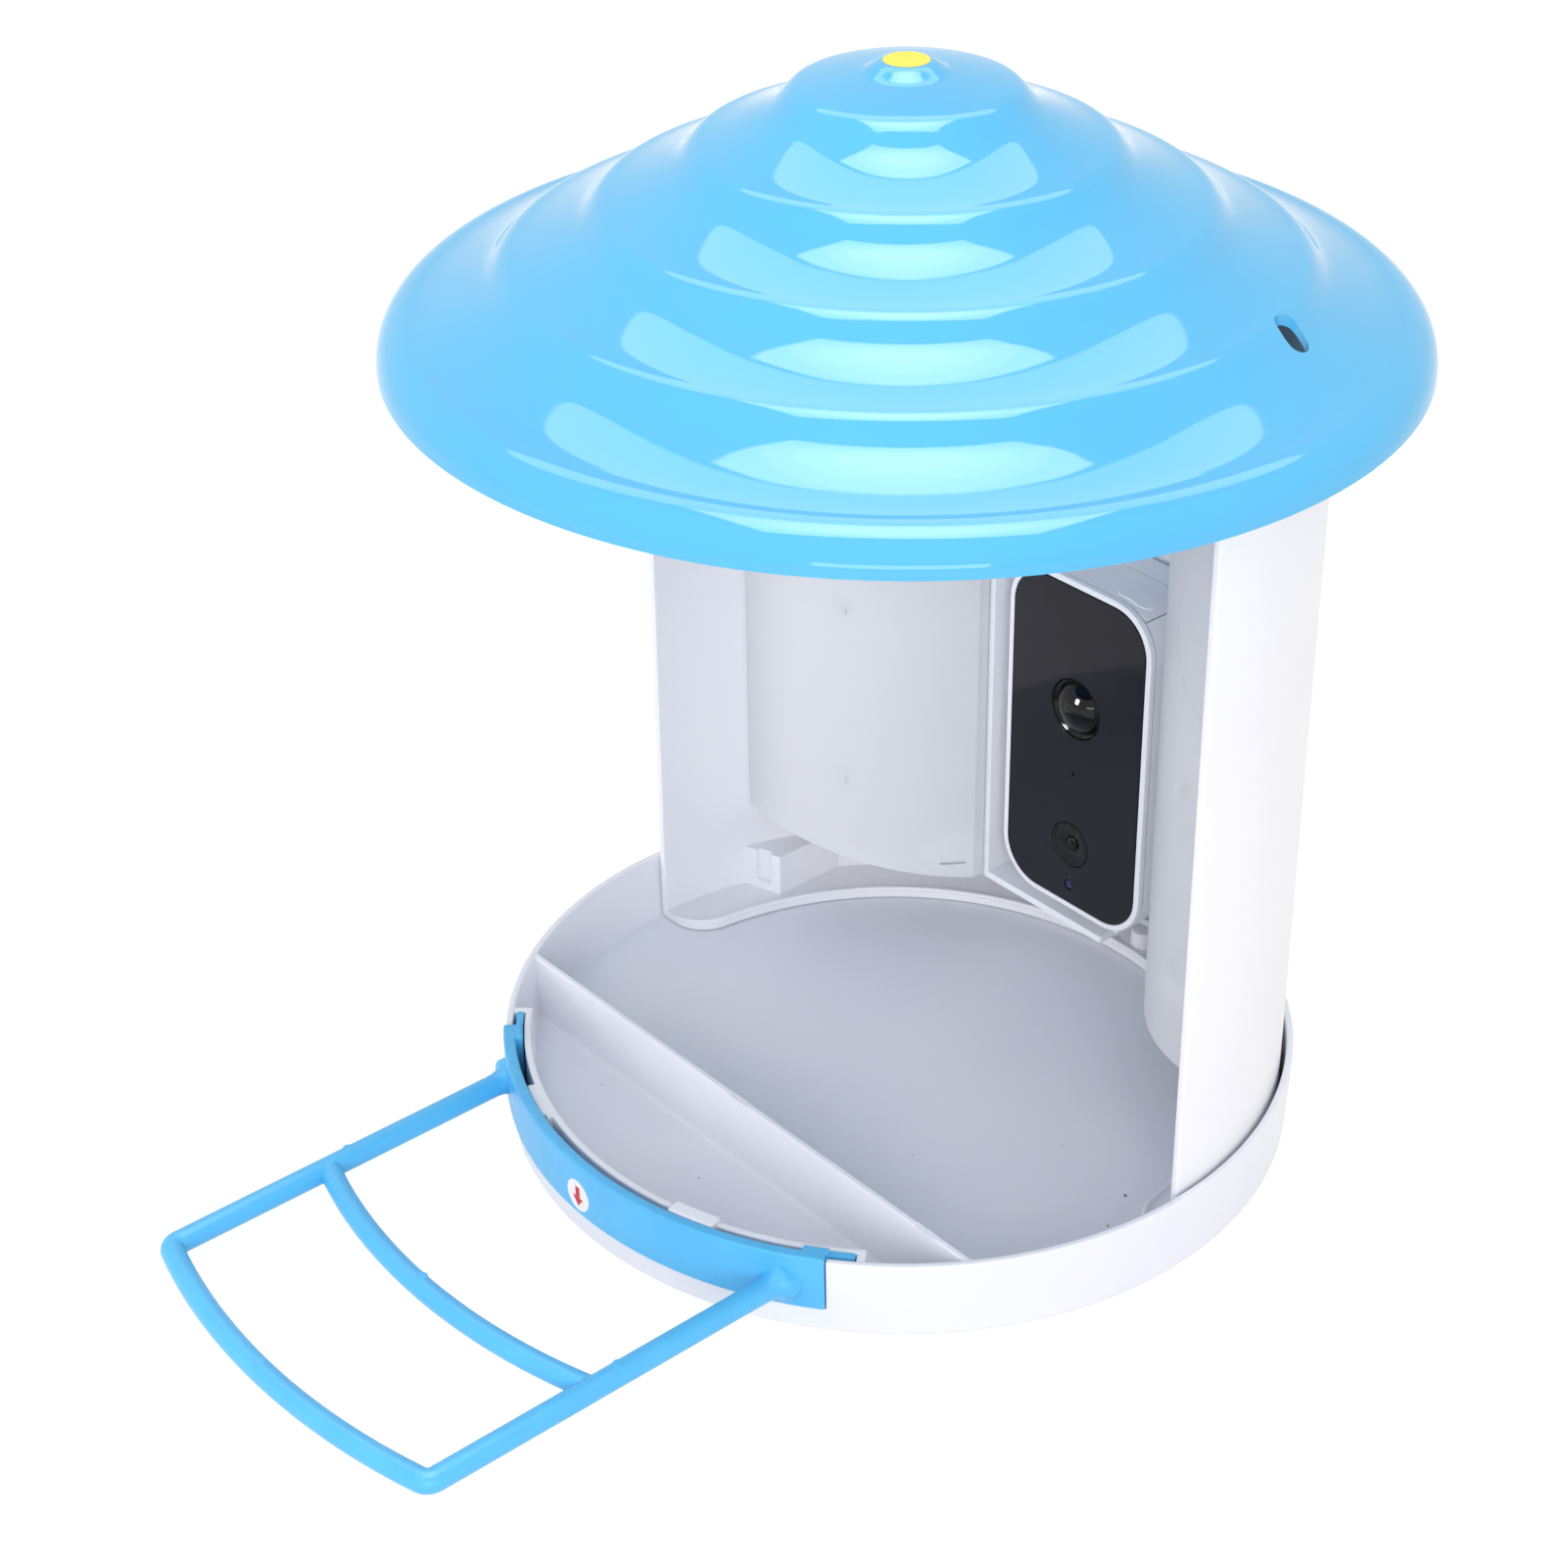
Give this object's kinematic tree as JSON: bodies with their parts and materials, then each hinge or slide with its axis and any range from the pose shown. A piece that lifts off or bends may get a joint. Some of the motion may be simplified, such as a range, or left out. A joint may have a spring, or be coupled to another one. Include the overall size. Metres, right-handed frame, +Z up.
{
  "type": "camera bird feeder",
  "caption": "Round bird feeder: tray with a slide-in perch, half-round wall, two seed bins beside a pull-out camera, and a lift-off stepped roof.",
  "frame": {"origin": "middle of the tray's flat underside, on the ground", "axes": "+Z up, -Y towards the perch, +X to the right as seen from the perch"},
  "size_m": [0.236, 0.3124, 0.2712],
  "materials": {
    "white_plastic": "satin injection moulding",
    "blue_plastic": "glossy injection moulding",
    "milky_plastic": "milky, half clear",
    "black_gloss": "glossy",
    "black_matt": "fine texture",
    "dark_glass": "polished",
    "light_window": "smoked",
    "pale_rubber": "soft, matt",
    "steel": "plain",
    "board_green": "solder resist",
    "battery_wrap": "shrink wrap"
  },
  "bodies": {
    "base": {"tray": "white_plastic", "tray_screw_1": "steel", "tray_screw_2": "steel", "tray_screw_3": "steel", "body_wall": "white_plastic", "hopper_screw_left_lower": "steel", "hopper_screw_left_upper": "steel", "hopper_screw_right_lower": "steel", "hopper_screw_right_upper": "steel", "pocket_screw_lower": "steel", "pocket_screw_upper": "steel", "hopper_left": "milky_plastic", "hopper_right": "milky_plastic", "camera_pocket": "white_plastic"},
    "roof": {"roof": "blue_plastic"},
    "perch": {"perch": "blue_plastic"},
    "camera": {"camera_front_frame": "white_plastic", "camera_face_plate": "black_gloss", "sensor_dome": "dark_glass", "lens_ring": "black_matt", "lens_glass": "dark_glass", "lens_barrel": "black_matt", "status_light_window": "light_window", "motion_sensor": "steel", "camera_rear_case": "white_plastic", "case_seal": "pale_rubber", "case_screw_1": "steel", "case_screw_2": "steel", "case_screw_3": "steel", "case_screw_4": "steel", "circuit_board": "board_green", "charging_socket": "steel", "battery_pack": "battery_wrap", "loudspeaker": "black_matt"},
    "port_cover": {"port_cover": "pale_rubber"},
    "power_button": {"power_button": "black_matt"}
  },
  "joints": [
    {"name": "roof_lift", "type": "slide", "parent": "base", "child": "roof", "axis": [0, 0, 1], "range_m": [0, 0.045]},
    {"name": "perch_slide", "type": "slide", "parent": "base", "child": "perch", "axis": [0, 0, 1], "range_m": [0, 0.016]},
    {"name": "camera_pull", "type": "slide", "parent": "base", "child": "camera", "axis": [0, -1, 0], "range_m": [0, 0.03]},
    {"name": "port_cover_hinge", "type": "hinge", "parent": "camera", "child": "port_cover", "pos_m": [-0.011, 0.0697, 0.1225], "axis": [0, -1, 0], "range_deg": [0, 100]},
    {"name": "power_press", "type": "slide", "parent": "camera", "child": "power_button", "axis": [0, 0, -1], "range_m": [0, 0.0006], "stiffness_N_per_m": 400}
  ]
}
